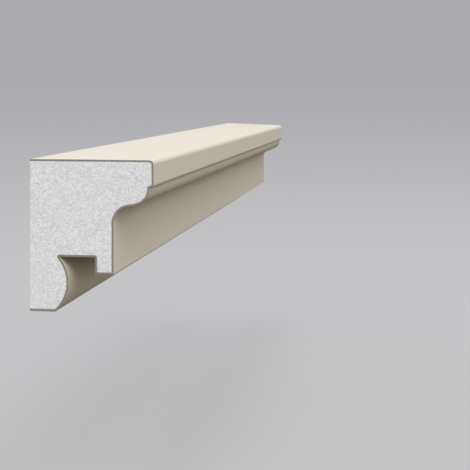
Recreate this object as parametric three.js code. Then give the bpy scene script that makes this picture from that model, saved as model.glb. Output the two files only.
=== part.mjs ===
import * as THREE from "three";

// One length of outdoor cornice moulding, in millimetres: a block of expanded polystyrene foam, hot-wire
// cut to the moulding's section, under a thin hard coat on its top, front and underside.
// X runs along the length. The wall plane is y = 0 and the moulding projects towards -Y. +Z is up.
// The origin is the centre of the back face. The -X end is cut square and the +X end is mitred.

// Overall sizes
const LENGTH = 1455; // along the wall, from the square end to the tip of the mitre
const HEIGHT = 180;
const PROJECTION = 150; // of the top fascia from the wall
const COAT = 2.5; // build-up of the coat on the foam
const BOND_GAP = 0.3; // parts the inside of the coat from the foam
const MITRE_SLOPE = 1; // the mitred end steps back this far for each millimetre out from the wall

// Section of the coated surface, given as out from the wall and down from the top
const TOP_ARRIS = 5.5; // radius between the top and the fascia
const FASCIA_DEPTH = 32.7;
const FASCIA_ARRIS = 4.5;
const RISER_OUT = 144.8; // the short riser under the fascia
const INNER_FILLET = 0.5; // radius of the coat in every inner corner
const CYMA_RADIUS = 20; // of both the swelling and the hollow
const SWELLING_DEPTH = 33.7; // where the riser turns into the swelling
const HOLLOW_DEPTH = 74.8; // where the hollow runs out into the lower fascia
const LOWER_FASCIA_OUT = 102;
const LIP_DEPTH = 135; // lower edge of the lower fascia
const LIP_ARRIS = 1;
const GROOVE_OUT = 79.5; // the drip groove's outer wall
const GROOVE_DEPTH = 115; // the drip groove's roof
const BEAD_RADIUS = 45; // the half-round bead between the groove and the foot
const BEAD_OUT = 2.3;
const BEAD_DEPTH = 145.5;
const FOOT_ARRIS = 5; // radius between the bead and the underside

const ARC_STEPS = 12; // straight steps in each half of an arc

// Centre of a small circle that touches a level line and, from within or without, the bead's circle.
function centreBesideBead(depth, distance) {
  const rise = BEAD_DEPTH - depth;
  return new THREE.Vector2(BEAD_OUT + Math.sqrt(distance ** 2 - rise ** 2), depth);
}

// The section's face from the wall over the top and round to the wall below, this far inside the
// coated surface. Outer corners lose the inset from their radius and inner corners gain it, so every
// inset keeps an even distance.
function facePoints(inset) {
  const face = new THREE.Path();
  const right = Math.PI / 2;

  // An outer corner of a right angle about its arc's centre, sharp once the inset has used up its radius.
  function outerCorner(out, down, radius, fromAngle) {
    const rest = radius - inset;
    if (rest > 0) {
      face.absarc(out, down, rest, fromAngle, fromAngle + right, false);
    } else {
      const middle = fromAngle + right / 2;
      const reach = Math.SQRT2 * rest;
      face.lineTo(out + reach * Math.cos(middle), down + reach * Math.sin(middle));
    }
  }

  function innerCorner(out, down, fromAngle, toAngle) {
    face.absarc(out, down, INNER_FILLET + inset, fromAngle, toAngle, true);
  }

  // Top and fascia
  face.moveTo(0, inset);
  face.lineTo(PROJECTION - TOP_ARRIS, inset);
  outerCorner(PROJECTION - TOP_ARRIS, TOP_ARRIS, TOP_ARRIS, -right);
  outerCorner(PROJECTION - FASCIA_ARRIS, FASCIA_DEPTH - FASCIA_ARRIS, FASCIA_ARRIS, 0);
  innerCorner(RISER_OUT + INNER_FILLET, FASCIA_DEPTH + INNER_FILLET, -right, -Math.PI);

  // Cyma: the swelling, the hollow and the straight line that touches both
  const swelling = new THREE.Vector2(RISER_OUT - CYMA_RADIUS, SWELLING_DEPTH);
  const hollow = new THREE.Vector2(LOWER_FASCIA_OUT + CYMA_RADIUS, HOLLOW_DEPTH);
  const between = hollow.clone().sub(swelling);
  const turn = between.angle() - Math.acos((2 * CYMA_RADIUS) / between.length());
  face.absarc(swelling.x, swelling.y, CYMA_RADIUS - inset, 0, turn, false);
  face.absarc(hollow.x, hollow.y, CYMA_RADIUS + inset, turn - Math.PI, -Math.PI, true);

  // Lip and drip groove
  outerCorner(LOWER_FASCIA_OUT - LIP_ARRIS, LIP_DEPTH - LIP_ARRIS, LIP_ARRIS, 0);
  outerCorner(GROOVE_OUT + LIP_ARRIS, LIP_DEPTH - LIP_ARRIS, LIP_ARRIS, right);
  innerCorner(GROOVE_OUT - INNER_FILLET, GROOVE_DEPTH + INNER_FILLET, 0, -right);

  // Bead, with the narrow corner above it and the rounded foot below it
  const bead = new THREE.Vector2(BEAD_OUT, BEAD_DEPTH);
  const corner = centreBesideBead(GROOVE_DEPTH + INNER_FILLET, BEAD_RADIUS + INNER_FILLET);
  const foot = centreBesideBead(HEIGHT - FOOT_ARRIS, BEAD_RADIUS - FOOT_ARRIS);
  const beadTop = corner.clone().sub(bead).angle();
  const beadFoot = foot.clone().sub(bead).angle();
  innerCorner(corner.x, corner.y, -right, beadTop - Math.PI);
  face.absarc(bead.x, bead.y, BEAD_RADIUS - inset, beadTop, beadFoot, false);
  face.absarc(foot.x, foot.y, FOOT_ARRIS - inset, beadFoot, right, false);
  face.lineTo(0, HEIGHT - inset);
  return face.getPoints(ARC_STEPS);
}

// A prism of a closed outline of out and down, run along X between the square and the mitred end.
function lengthOf(outline) {
  const section = new THREE.Shape(outline.map((p) => new THREE.Vector2(-p.x, HEIGHT / 2 - p.y)));
  const geometry = new THREE.ExtrudeGeometry(section, { depth: LENGTH, bevelEnabled: false });
  geometry.translate(0, 0, -LENGTH / 2);
  const position = geometry.getAttribute("position");
  for (let i = 0; i < position.count; i++) {
    if (position.getZ(i) > 0) {
      position.setZ(i, LENGTH / 2 + MITRE_SLOPE * position.getX(i));
    }
  }
  // The section was drawn in the plane of Y and Z, so its own x, y and z turn into Y, Z and X.
  const turn = new THREE.Matrix4().makeBasis(
    new THREE.Vector3(0, 1, 0),
    new THREE.Vector3(0, 0, 1),
    new THREE.Vector3(1, 0, 0),
  );
  geometry.applyMatrix4(turn);
  geometry.computeVertexNormals();
  return geometry;
}

// Expanded polystyrene, bare on the back and on both ends.
function foamCore() {
  const foam = new THREE.MeshStandardMaterial({ color: 0xdcdcdc, roughness: 0.95, metalness: 0 });
  const core = new THREE.Mesh(lengthOf(facePoints(COAT)), foam);
  core.name = "foam_core";
  return core;
}

// Mineral-filled acrylic coat: one open band that ends against the wall above and below.
function coating() {
  const stone = new THREE.MeshStandardMaterial({ color: 0xd9d0c1, roughness: 0.7, metalness: 0 });
  const band = [...facePoints(0), ...facePoints(COAT - BOND_GAP).reverse()];
  const coat = new THREE.Mesh(lengthOf(band), stone);
  coat.name = "coating";
  return coat;
}

const moulding = new THREE.Group();
moulding.add(foamCore(), coating());

export default moulding;
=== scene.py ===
"""A length of coated foam cornice moulding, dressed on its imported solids."""

import math

import bmesh
import bpy
import numpy as np
from mathutils import Matrix, Vector
from mathutils.geometry import delaunay_2d_cdt


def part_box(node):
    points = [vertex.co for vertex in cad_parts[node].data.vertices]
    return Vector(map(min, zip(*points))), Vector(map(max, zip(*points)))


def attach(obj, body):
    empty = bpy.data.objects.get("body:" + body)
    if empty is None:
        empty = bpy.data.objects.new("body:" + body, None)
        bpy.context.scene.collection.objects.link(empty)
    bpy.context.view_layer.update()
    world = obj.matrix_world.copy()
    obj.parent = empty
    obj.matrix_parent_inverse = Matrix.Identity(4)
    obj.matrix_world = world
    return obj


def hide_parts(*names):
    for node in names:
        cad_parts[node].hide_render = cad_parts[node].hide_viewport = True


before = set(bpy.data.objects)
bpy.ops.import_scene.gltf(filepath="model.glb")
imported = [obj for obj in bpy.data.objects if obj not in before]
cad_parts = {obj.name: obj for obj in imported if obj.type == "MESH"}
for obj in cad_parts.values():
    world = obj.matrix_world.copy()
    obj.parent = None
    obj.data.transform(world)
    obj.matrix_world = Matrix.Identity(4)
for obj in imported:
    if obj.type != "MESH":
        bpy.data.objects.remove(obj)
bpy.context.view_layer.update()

MM = 0.001  # in metres
RIGHT = math.pi / 2
SLANT = math.sqrt(2)  # length of the mitred cut for each millimetre out from the wall
FRAME_PIXELS = 470  # the photograph's width and height

# Overall sizes, in millimetres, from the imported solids
coat_low, coat_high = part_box("coating")
LENGTH = (coat_high.x - coat_low.x) / MM
PROJECTION = -coat_low.y / MM
HEIGHT = (coat_high.z - coat_low.z) / MM
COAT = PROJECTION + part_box("foam_core")[0].y / MM

# Section of the coated surface, in millimetres out from the wall and down from the top, as in the solids
TOP_ARRIS = 5.5
FASCIA_DEPTH = 32.7
FASCIA_ARRIS = 4.5
RISER_OUT = 144.8
INNER_FILLET = 0.5
CYMA_RADIUS = 20
SWELLING_DEPTH = 33.7
HOLLOW_DEPTH = 74.8
LOWER_FASCIA_OUT = 102
LIP_DEPTH = 135
LIP_ARRIS = 1
GROOVE_OUT = 79.5
GROOVE_DEPTH = 115
BEAD_RADIUS = 45
BEAD_CENTRE = np.array([2.3, 145.5])
FOOT_ARRIS = 5

# Finish of the coat, in millimetres
CUT_ARRIS = 0.35  # the saw's edge on the coat, eased by hand
SUPPORT = 0.3  # a point this close to each arc keeps the flats flat in shading
ROW_STEP = 12  # along the length
WAVE_HEIGHT = 0.12  # slow waves left in the coat by the drawing template

# Finish of the foam, in millimetres
LEAST_ARRIS = 0.25  # radius left on a corner that the wire cut sharp
BEAD_SIZE = 2.2  # across one bead of the foam
BEAD_STRETCH = np.array([1.3, 0.85])  # out and down: beads pressed a little flat in the mould
BEAD_TABLE = (97, 101)  # squares out and down before the beads repeat, more than either cut face holds
BEAD_CROWN = 0.14  # each cut bead stands this high over its seam
BEAD_STEP = 0.05  # beads tear off this much higher or lower than their neighbours
RELIEF_FADE = 1.2  # the relief dies out this near the outline
SQUARE_GRID = 0.68  # between the points of the square cut
MITRE_GRID = 1.05
BACK_GRID = (8, 2.5)  # along and up
WIRE_MARK = 0.15  # height of the ridges that the hot wire left on the back


def arc(centre, radius, start, end, steps):
    """Points of a circle about the centre, in equal turns from the start angle to the end angle."""
    angle = np.linspace(start, end, steps + 1)
    return np.array(centre) + radius * np.column_stack([np.cos(angle), np.sin(angle)])


def outer_corner(corner, radius, start, inset):
    """A square corner that stands out: a quarter turn of the coated surface's radius less the inset."""
    rest = max(radius - inset, LEAST_ARRIS)
    middle = start + RIGHT / 2
    away = np.sign([math.cos(middle), math.sin(middle)])
    return arc(np.array(corner) - (inset + rest) * away, rest, start, start + RIGHT, 8)


def straight(start, end):
    """Points between two ends, one close to each and the rest in equal steps.

    A stretch over 5 mm gets 13 points, a shorter one 3, and ends that touch get none.
    """
    run = np.hypot(*(end - start))
    if run < SUPPORT / 2:
        return np.empty((0, 2))
    share = np.linspace(0, 1, 13 if run > 5 else 3)
    share[0] = min(SUPPORT / run, share[1] / 2)
    share[-1] = 1 - share[0]
    return start + share[:, None] * (end - start)


def beside_bead(depth, distance):
    """Centre of a circle at this depth whose centre lies this far from the bead's."""
    rise = BEAD_CENTRE[1] - depth
    return np.array([BEAD_CENTRE[0] + math.sqrt(distance**2 - rise**2), depth])


def section(inset):
    """The face from the wall over the top and round to the wall below, this far inside the coated surface.

    The arcs follow each other, each joined to the next by the straight stretch that touches both. Every
    inset gives the same number of points, so two insets pair up point by point.
    """
    fillet = INNER_FILLET + inset
    swelling = np.array([RISER_OUT - CYMA_RADIUS, SWELLING_DEPTH])
    hollow = np.array([LOWER_FASCIA_OUT + CYMA_RADIUS, HOLLOW_DEPTH])
    between = hollow - swelling
    turn = math.atan2(between[1], between[0]) - math.acos(2 * CYMA_RADIUS / np.hypot(*between))
    notch = beside_bead(GROOVE_DEPTH + INNER_FILLET, BEAD_RADIUS + INNER_FILLET)
    foot = beside_bead(HEIGHT - FOOT_ARRIS, BEAD_RADIUS - FOOT_ARRIS)
    bead_top = math.atan2(*(notch - BEAD_CENTRE)[::-1])
    bead_foot = math.atan2(*(foot - BEAD_CENTRE)[::-1])
    arcs = [
        np.array([[0, inset]]),
        outer_corner((PROJECTION, 0), TOP_ARRIS, -RIGHT, inset),
        outer_corner((PROJECTION, FASCIA_DEPTH), FASCIA_ARRIS, 0, inset),
        arc((RISER_OUT + INNER_FILLET, FASCIA_DEPTH + INNER_FILLET), fillet, -RIGHT, -math.pi, 6),
        arc(swelling, CYMA_RADIUS - inset, 0, turn, 22),
        arc(hollow, CYMA_RADIUS + inset, turn - math.pi, -math.pi, 22),
        outer_corner((LOWER_FASCIA_OUT, LIP_DEPTH), LIP_ARRIS, 0, inset),
        outer_corner((GROOVE_OUT, LIP_DEPTH), LIP_ARRIS, RIGHT, inset),
        arc((GROOVE_OUT - INNER_FILLET, GROOVE_DEPTH + INNER_FILLET), fillet, 0, -RIGHT, 6),
        arc(notch, fillet, -RIGHT, bead_top - math.pi, 8),
        arc(BEAD_CENTRE, BEAD_RADIUS - inset, bead_top, bead_foot, 44),
        arc(foot, FOOT_ARRIS - inset, bead_foot, RIGHT, 8),
        np.array([[0, HEIGHT - inset]]),
    ]
    points = [arcs[0]]
    for before, after in zip(arcs, arcs[1:]):
        rest = straight(before[-1], after[0])
        points += [rest, after] if len(rest) else [after[1:]]
    return np.vstack(points)


def place(out, down, share, step=0.0):
    """Metres in the part's frame: out from the wall is -Y and down from the top is -Z.

    The share runs from 0 on the square end to 1 on the mitred end, which steps back by the distance out.
    """
    along = -LENGTH / 2 + share * (LENGTH - out) + step
    return np.stack(np.broadcast_arrays(along, -out, HEIGHT / 2 - down), axis=-1) * MM


def make_piece(name, points, faces, materials, node_name, attributes):
    """A mesh of the piece, smooth and facing outwards, with its materials, hung from the root body in place
    of its solid, which is hidden.
    """
    mesh = bpy.data.meshes.new(name)
    mesh.from_pydata(points.reshape(-1, 3), [], faces)
    for key, values in attributes.items():
        attribute = mesh.attributes.new(key, "FLOAT", "POINT")
        attribute.data.foreach_set("value", np.ravel(values).astype(np.float32))
    work = bmesh.new()
    work.from_mesh(mesh)
    bmesh.ops.recalc_face_normals(work, faces=work.faces)
    work.to_mesh(mesh)
    work.free()
    mesh.shade_smooth()
    piece = bpy.data.objects.new(name, mesh)
    bpy.context.scene.collection.objects.link(piece)
    for material in materials:
        mesh.materials.append(material)
    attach(piece, "root")
    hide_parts(node_name)
    return piece


def grid_faces(ids):
    """One four-sided face for each square of a grid of vertex numbers."""
    corners = [ids[:-1, :-1], ids[1:, :-1], ids[1:, 1:], ids[:-1, 1:]]
    return np.stack(corners, axis=-1).reshape(-1, 4).tolist()


def waves(along, around):
    """Slow unevenness of a drawn coat: three long sines, crossed at different slants, in millimetres."""
    slow = np.sin(along / 47 + around / 31) + np.sin(along / 29 - around / 53 + 2.1)
    return WAVE_HEIGHT / 3 * (slow + np.sin(along / 83 + around / 17 + 4.4))


def make_coat(materials):
    """The coat: the section's face carried along the length and closed round its ends and its inside.

    One parameter runs round the section. The other runs a closed loop: up the cut edge of the square end
    from the foam, round its eased arris, along the coated surface, down the mitred end's edge in the same
    way, and back to the start along the bond with the foam. The waves lift the surface along its normal,
    and fade through the cut edge to nothing at the foam.
    """
    easing = np.linspace(0, RIGHT, 5)
    rise = np.linspace(COAT, CUT_ARRIS, 6)
    end_inset = np.concatenate([rise, CUT_ARRIS * (1 - np.sin(easing[1:])), [0]])
    end_step = np.concatenate([0 * rise, CUT_ARRIS * (1 - np.cos(easing[1:])), [CUT_ARRIS + SUPPORT]])
    rows = np.arange(ROW_STEP, LENGTH - ROW_STEP, ROW_STEP) / LENGTH
    inset = np.concatenate([end_inset, 0 * rows, end_inset[::-1]])
    share = np.concatenate([0 * end_inset, rows, 0 * end_inset + 1])
    step = np.concatenate([end_step, 0 * rows, -SLANT * end_step[::-1]])

    surface = section(0)
    outward = (surface - section(CUT_ARRIS)) / CUT_ARRIS
    around = np.concatenate([[0], np.cumsum(np.hypot(*np.diff(surface, axis=0).T))])
    profiles = np.stack([section(i) for i in inset])
    along = share[:, None] * LENGTH
    free = (1 - inset / COAT)[:, None]
    profiles += (free * waves(along, around))[..., None] * outward
    points = place(profiles[..., 0], profiles[..., 1], share[:, None], step[:, None])

    count = surface.shape[0]
    ids = np.arange(inset.size * count).reshape(inset.size, count)
    faces = grid_faces(np.vstack([ids, ids[:1]]))
    faces += [ids[:, 0].tolist(), ids[:, -1].tolist()]
    attributes = {"cut_depth": np.broadcast_to((inset / COAT)[:, None], ids.shape)}
    return make_piece("moulding_coat", points, faces, materials, "coating", attributes)


def beads(points, rng):
    """Cells round scattered seeds, one seed anywhere in each square of a grid of the bead's size.

    The points are first divided by the stretch, so that each square comes out wider and lower. Gives for
    each point how far it is inside its bead, as the second nearest seed's distance less the nearest one's
    over half a bead, and a number between 0 and 1 that belongs to the bead. A seed's distance is
    shortened by up to a quarter of a bead, so beads differ in size.
    """
    table = rng.random((*BEAD_TABLE, 4))
    points = points / BEAD_STRETCH
    square = np.floor(points / BEAD_SIZE).astype(int)
    reach, tones = [], []
    for shift in np.ndindex(5, 5):
        cell = square + np.array(shift) - 2
        seed = table[tuple((cell % BEAD_TABLE).T)]
        distance = np.hypot(*((cell + seed[:, :2]) * BEAD_SIZE - points).T)
        reach.append(distance - BEAD_SIZE / 4 * seed[:, 2])
        tones.append(seed[:, 3])
    reach, tones = np.array(reach), np.array(tones)
    order = np.argsort(reach, axis=0)[:2]
    nearest, second = np.take_along_axis(reach, order, axis=0)
    inside = np.clip((second - nearest) / (BEAD_SIZE / 2), 0, 1)
    return inside, np.take_along_axis(tones, order[:1], axis=0)[0]


def within(points, outline):
    """True for each point that a level ray leaves through an odd number of the outline's edges."""
    x, y = points[:, :1], points[:, 1:]
    (x0, y0), (x1, y1) = outline.T, np.roll(outline, -1, axis=0).T
    crosses = (y0 > y) != (y1 > y)
    slope = (x1 - x0) / np.where(y1 == y0, 1, y1 - y0)
    return (crosses & (x < x0 + (y - y0) * slope)).sum(axis=1) % 2 == 1


def distance_to(points, outline):
    """Distance from each point to the nearest edge of the outline."""
    edge = np.roll(outline, -1, axis=0) - outline
    to_point = points[:, None] - outline
    share = np.clip((to_point * edge).sum(axis=2) / (edge**2).sum(axis=1), 0, 1)
    return np.hypot(*np.moveaxis(to_point - share[..., None] * edge, 2, 0)).min(axis=1)


def cut_face(outline, spacing, rng):
    """Points and triangles of a cut face, and its relief.

    A grid of staggered points, each a little off its place, fills the outline, and Delaunay's triangles
    join them. Each point sinks by the square of how near it is to its bead's seam, and by its bead's own
    share of a step, and not at all on the outline. The outline's points come first and keep their order.
    """
    low, high = outline.min(axis=0), outline.max(axis=0)
    out, down = np.meshgrid(np.arange(low[0], high[0], spacing), np.arange(low[1], high[1], spacing))
    out = out + (np.arange(out.shape[0]) % 2)[:, None] * spacing / 2
    grid = np.column_stack([out.ravel(), down.ravel()])
    grid += rng.uniform(-0.15, 0.15, grid.shape) * spacing
    grid = grid[within(grid, outline)]
    clear = np.concatenate([distance_to(part, outline) for part in np.array_split(grid, 40)])
    grid, clear = grid[clear > spacing / 2], clear[clear > spacing / 2]
    points = np.vstack([outline, grid])
    rim = list(range(len(outline)))
    _, _, triangles, _, _, in_rim = delaunay_2d_cdt(points.tolist(), [], [rim], 0, 1e-6)
    triangles = [t for t, sources in zip(triangles, in_rim) if sources]
    inside, tone = beads(points, rng)
    sunk = BEAD_CROWN * (1 - inside) ** 2 + BEAD_STEP * tone
    fade = np.clip(np.concatenate([np.zeros(len(outline)), clear]) / RELIEF_FADE, 0, 1)
    return points, triangles, sunk * fade, inside, tone


def make_foam(materials):
    """The foam: its two cut faces, the hot-wired back, and the bonded faces that the coat hides.

    The outline is the section at the coat's depth, closed by the back's edge. The back is a grid of the
    length and the height, whose ridges are three sines of the height, bent by slow sines of the length
    and flattened towards the back's upper and lower edges.
    """
    rng = np.random.default_rng(11)
    face = section(COAT)
    count = len(face)
    up = np.linspace(HEIGHT - COAT, COAT, round((HEIGHT - 2 * COAT) / BACK_GRID[1]) + 1)
    back_edge = np.column_stack([0 * up, up])
    outline = np.vstack([face, back_edge[1:-1]])
    rim = len(outline)

    flat, near_faces, near_sunk, near_inside, near_tone = cut_face(outline, SQUARE_GRID, rng)
    near = place(flat[:, 0], flat[:, 1], 0.0, near_sunk)
    widen = np.array([SLANT, 1])
    flat, far_faces, far_sunk, far_inside, far_tone = cut_face(outline * widen, MITRE_GRID, rng)
    flat = flat / widen
    far = place(flat[:, 0], flat[:, 1], 1.0)
    far += far_sunk[:, None] * np.array([-1, 1, 0]) / SLANT * MM

    columns = round(LENGTH / BACK_GRID[0])
    share = np.linspace(0, 1, columns + 1)[1:-1, None]
    height, run = (HEIGHT - up)[None] / 10, share * LENGTH / 100
    ridge = np.sin(5.1 * height + 0.5 * np.sin(run)) + np.sin(8.3 * height + 0.7 * np.sin(1.7 * run + 1))
    ridge += np.sin(2.3 * height + np.sin(0.6 * run + 2))
    hem = np.sin(np.pi * np.linspace(0, 1, up.size)) ** 0.25
    sunk = WIRE_MARK * (3 + ridge) / 6 * hem
    back = place(sunk, up[None], share)

    points = np.vstack([near, far, back.reshape(-1, 3)])
    start_far, start_back = len(near), len(near) + len(far)
    near_edge = np.array([count - 1, *range(count, rim), 0])
    back_ids = start_back + np.arange(back.shape[0] * up.size).reshape(-1, up.size)
    back_ids = np.vstack([near_edge, back_ids, near_edge + start_far])
    faces = [list(f) for f in near_faces]
    faces += [[i + start_far for i in f] for f in far_faces]
    back_first = len(faces)
    faces += grid_faces(back_ids)
    back_last = len(faces)
    bond = np.vstack([np.arange(count), np.arange(count) + start_far])
    faces += grid_faces(bond[:, 1:-1])
    faces.append([*back_ids[:, -1].tolist(), int(bond[1, 1]), 1])
    faces.append([*back_ids[:, 0].tolist(), int(bond[1, -2]), count - 2])
    hidden = np.full(back.shape[:2], 0.5)
    attributes = {
        "bead_inside": np.concatenate([near_inside, far_inside, hidden.ravel()]),
        "bead_tone": np.concatenate([near_tone, far_tone, hidden.ravel()]),
    }
    piece = make_piece("moulding_foam", points, faces, materials, "foam_core", attributes)
    slots = np.zeros(len(faces), dtype=np.int32)
    slots[back_first:back_last] = 1
    piece.data.polygons.foreach_set("material_index", slots)
    return piece


def linear(code):
    """A colour's sRGB hex code as linear red, green, blue and alpha."""
    parts = [int(code[i : i + 2], 16) / 255 for i in (1, 3, 5)]
    return [c / 12.92 if c <= 0.04045 else ((c + 0.055) / 1.055) ** 2.4 for c in parts] + [1]


def add(tree, kind, sockets=None, **settings):
    """Adds a node with its settings. A socket takes a value, or the output of another node as a link."""
    made = tree.nodes.new(kind)
    for key, value in settings.items():
        setattr(made, key, value)
    for key, value in (sockets or {}).items():
        if isinstance(value, bpy.types.NodeSocket):
            tree.links.new(value, made.inputs[key])
        else:
            made.inputs[key].default_value = value
    return made


def new_material(name):
    """A material without nodes, and its node tree."""
    material = bpy.data.materials.new(name)
    material.use_nodes = True
    material.node_tree.nodes.clear()
    return material, material.node_tree


def per_metre(size_mm):
    """Texture scale that makes one feature this many millimetres across, on Object coordinates in metres."""
    return 1 / (size_mm * MM)


def coat_material():
    """Acrylic mortar filled with fine stone flour, drawn on through a template and left to dry.

    The eye sees an even matt light beige, barely clouded, with a grain of about half a millimetre and
    faint lines along the length. Where the length is cut, the grey-brown base layer shows.
    """
    material, tree = new_material("mineral-filled acrylic coat")
    place_in = add(tree, "ShaderNodeTexCoord").outputs["Object"]
    drawn = add(tree, "ShaderNodeMapping", {"Vector": place_in, "Scale": (0.02, 1, 1)})
    cloud = add(tree, "ShaderNodeTexNoise", {"Vector": place_in, "Scale": per_metre(90), "Detail": 3})
    grain = add(tree, "ShaderNodeTexNoise", {"Vector": place_in, "Scale": per_metre(0.6), "Detail": 2})
    lines = add(tree, "ShaderNodeTexNoise", {"Vector": drawn.outputs[0], "Scale": per_metre(3), "Detail": 2})
    finish = add(tree, "ShaderNodeMix", {
        "Factor": cloud.outputs["Fac"], 6: linear("#DFD6BF"), 7: linear("#E4DBC4"),
    }, data_type="RGBA")
    finish = add(tree, "ShaderNodeMix", {
        "Factor": lines.outputs["Fac"], 6: finish.outputs[2], 7: linear("#DBD2BA"),
    }, data_type="RGBA")
    depth = add(tree, "ShaderNodeAttribute", attribute_name="cut_depth").outputs["Fac"]
    layer = add(tree, "ShaderNodeMapRange", {"Value": depth, "From Min": 0.02, "From Max": 0.07})
    colour = add(tree, "ShaderNodeMix", {
        "Factor": layer.outputs[0], 6: finish.outputs[2], 7: linear("#8F8779"),
    }, data_type="RGBA")
    relief = add(tree, "ShaderNodeMath", {0: grain.outputs["Fac"], 1: lines.outputs["Fac"]}, operation="ADD")
    bump = add(tree, "ShaderNodeBump", {"Height": relief.outputs[0], "Distance": 0.03 * MM, "Strength": 0.5})
    shader = add(tree, "ShaderNodeBsdfPrincipled", {
        "Base Color": colour.outputs[2], "Roughness": 0.72, "IOR": 1.48, "Normal": bump.outputs[0],
    })
    add(tree, "ShaderNodeOutputMaterial", {"Surface": shader.outputs[0]})
    return material


def cut_foam_material():
    """Expanded polystyrene cut through its beads.

    The eye sees flat white with a mosaic of beads 2 to 3 mm across: each is a shade of its own, and the
    seams between them are a little darker and duller than the beads' cut faces.
    """
    material, tree = new_material("expanded polystyrene, cut across")
    place_in = add(tree, "ShaderNodeTexCoord").outputs["Object"]
    inside = add(tree, "ShaderNodeAttribute", attribute_name="bead_inside").outputs["Fac"]
    tone = add(tree, "ShaderNodeAttribute", attribute_name="bead_tone").outputs["Fac"]
    cells = add(tree, "ShaderNodeTexNoise", {"Vector": place_in, "Scale": per_metre(0.8), "Detail": 2})
    white = add(tree, "ShaderNodeMix", {
        "Factor": tone, 6: linear("#E4E2DD"), 7: linear("#FAF9F4"),
    }, data_type="RGBA")
    seam = add(tree, "ShaderNodeMapRange", {"Value": inside, "From Max": 0.45})
    colour = add(tree, "ShaderNodeMix", {
        "Factor": seam.outputs[0], 6: linear("#CDCBC8"), 7: white.outputs[2],
    }, data_type="RGBA")
    bump = add(tree, "ShaderNodeBump", {
        "Height": cells.outputs["Fac"], "Distance": 0.1 * MM, "Strength": 0.6,
    })
    shader = add(tree, "ShaderNodeBsdfPrincipled", {
        "Base Color": colour.outputs[2], "Roughness": 0.8, "IOR": 1.2, "Normal": bump.outputs[0],
    })
    add(tree, "ShaderNodeOutputMaterial", {"Surface": shader.outputs[0]})
    return material


def back_foam_material():
    """Expanded polystyrene sliced lengthwise by the hot wire, which skins the beads over.

    The eye sees the same white beads, their seams fainter, under a slight sheen.
    """
    material, tree = new_material("expanded polystyrene, hot-wire cut")
    place_in = add(tree, "ShaderNodeTexCoord").outputs["Object"]
    seams = add(tree, "ShaderNodeTexVoronoi", {
        "Vector": place_in, "Scale": per_metre(BEAD_SIZE),
    }, feature="DISTANCE_TO_EDGE")
    tones = add(tree, "ShaderNodeTexVoronoi", {"Vector": place_in, "Scale": per_metre(BEAD_SIZE)})
    tone = add(tree, "ShaderNodeSeparateColor", {0: tones.outputs["Color"]}).outputs[0]
    white = add(tree, "ShaderNodeMix", {
        "Factor": tone, 6: linear("#EFEDE9"), 7: linear("#F8F6F1"),
    }, data_type="RGBA")
    seam = add(tree, "ShaderNodeMapRange", {"Value": seams.outputs["Distance"], "From Max": 0.2})
    colour = add(tree, "ShaderNodeMix", {
        "Factor": seam.outputs[0], 6: linear("#DBD9D5"), 7: white.outputs[2],
    }, data_type="RGBA")
    bump = add(tree, "ShaderNodeBump", {"Height": seam.outputs[0], "Distance": 0.1 * MM, "Strength": 0.7})
    shader = add(tree, "ShaderNodeBsdfPrincipled", {
        "Base Color": colour.outputs[2], "Roughness": 0.6, "IOR": 1.3, "Normal": bump.outputs[0],
    })
    add(tree, "ShaderNodeOutputMaterial", {"Surface": shader.outputs[0]})
    return material


def make_floor():
    """A wide pale floor, well below the moulding. It neither lights the moulding nor keeps light from it."""
    material, tree = new_material("pale studio floor")
    shader = add(tree, "ShaderNodeBsdfDiffuse", {"Color": linear("#C0BFB8")})
    add(tree, "ShaderNodeOutputMaterial", {"Surface": shader.outputs[0]})
    reach = 3000  # metres, so that its edge falls on the horizon
    level = -0.45
    corners = [(-reach, -reach, level), (reach, -reach, level), (reach, reach, level), (-reach, reach, level)]
    mesh = bpy.data.meshes.new("floor")
    mesh.from_pydata(corners, [], [(0, 1, 2, 3)])
    mesh.materials.append(material)
    floor = bpy.data.objects.new("floor", mesh)
    bpy.context.scene.collection.objects.link(floor)
    floor.visible_diffuse = floor.visible_glossy = floor.visible_shadow = False


# Light from all round: the sine of the elevation, and the colour there
SKY_STRENGTH = 1.3  # lifts the colours, so the brightest can stay under white
SKY = [
    (-0.80, "#302820"),
    (-0.40, "#6A6858"),
    (0.00, "#98989C"),
    (0.10, "#98989C"),
    (0.25, "#E4E4E8"),
    (0.50, "#F4F4FF"),
    (0.75, "#D0D0E0"),
    (1.00, "#808094"),
]


def make_world():
    """Soft light from all round, strongest at half height, and weak and warm from below."""
    world = bpy.data.worlds.new("studio")
    bpy.context.scene.world = world
    world.use_nodes = True
    tree = world.node_tree
    tree.nodes.clear()
    direction = add(tree, "ShaderNodeTexCoord").outputs["Generated"]
    height = add(tree, "ShaderNodeSeparateXYZ", {0: direction}).outputs["Z"]
    share = add(tree, "ShaderNodeMapRange", {"Value": height, "From Min": -1.0})
    ramp = add(tree, "ShaderNodeValToRGB", {"Fac": share.outputs[0]})
    stops = ramp.color_ramp.elements
    for _ in SKY[2:]:
        stops.new(0.5)
    for stop, (rise, colour) in zip(stops, SKY):
        stop.position = (rise + 1) / 2
        stop.color = linear(colour)
    background = add(tree, "ShaderNodeBackground", {"Color": ramp.outputs[0], "Strength": SKY_STRENGTH})
    add(tree, "ShaderNodeOutputWorld", {"Surface": background.outputs[0]})


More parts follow.
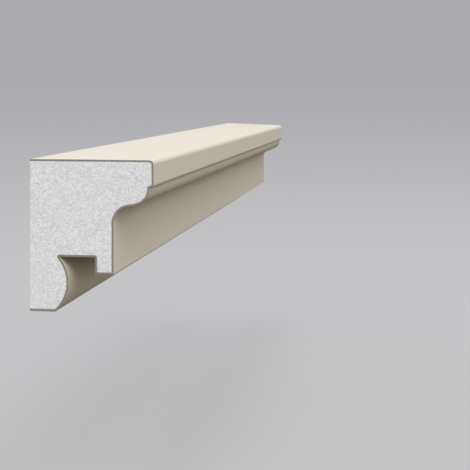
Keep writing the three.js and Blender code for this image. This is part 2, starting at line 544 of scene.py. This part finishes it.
def make_key_light():
    """One large softbox, high on the left in front, that also lights the square end. Sizes in metres."""
    distance = 12
    elevation, turn = math.radians(48), math.radians(68)
    level = distance * math.cos(elevation)
    at = Vector((-level * math.sin(turn), -level * math.cos(turn), distance * math.sin(elevation)))
    aim = Vector((0, -0.07, 0))
    light = bpy.data.lights.new("key softbox", "AREA")
    light.size = 9
    light.energy = 825
    light.color = linear("#F6FCFF")[:3]
    lamp = bpy.data.objects.new("key softbox", light)
    lamp.location = at
    lamp.rotation_euler = (aim - at).to_track_quat("-Z", "Y").to_euler()
    bpy.context.scene.collection.objects.link(lamp)


def make_camera():
    """The photograph's camera, level and turned a little towards the wall.

    Its focal length and turn come from the two vanishing points, in the photograph's pixels. Its place is
    given in metres from the near top corner at the wall. The horizon lies above the frame's middle, so the
    lens is shifted down to it and the uprights stay upright.
    """
    focal_pixels = 1136
    horizon_pixels = 89.6  # from the top
    vanishing_pixels = 178.5  # right of the middle
    near_edge_distance = 1.346
    near_edge_left = 0.2429
    height_above_top = 0.0822
    yaw = math.atan(vanishing_pixels / focal_pixels)
    ahead = Vector((math.cos(yaw), math.sin(yaw), 0))
    right = Vector((math.sin(yaw), -math.cos(yaw), 0))
    near_edge = Vector((-LENGTH / 2 * MM, 0, HEIGHT / 2 * MM))
    data = bpy.data.cameras.new("camera")
    data.sensor_width = 36
    data.lens = data.sensor_width * focal_pixels / FRAME_PIXELS
    data.shift_y = (horizon_pixels - FRAME_PIXELS / 2) / FRAME_PIXELS
    camera = bpy.data.objects.new("camera", data)
    turned = Matrix((right, (0, 0, 1), -ahead)).transposed().to_4x4()
    at = near_edge - near_edge_distance * ahead + near_edge_left * right + Vector((0, 0, height_above_top))
    camera.matrix_world = Matrix.Translation(at) @ turned
    bpy.context.scene.collection.objects.link(camera)
    bpy.context.scene.camera = camera


make_camera()
make_coat([coat_material()])
make_foam([cut_foam_material(), back_foam_material()])
make_floor()
make_world()
make_key_light()
bpy.context.scene.view_settings.view_transform = "Standard"
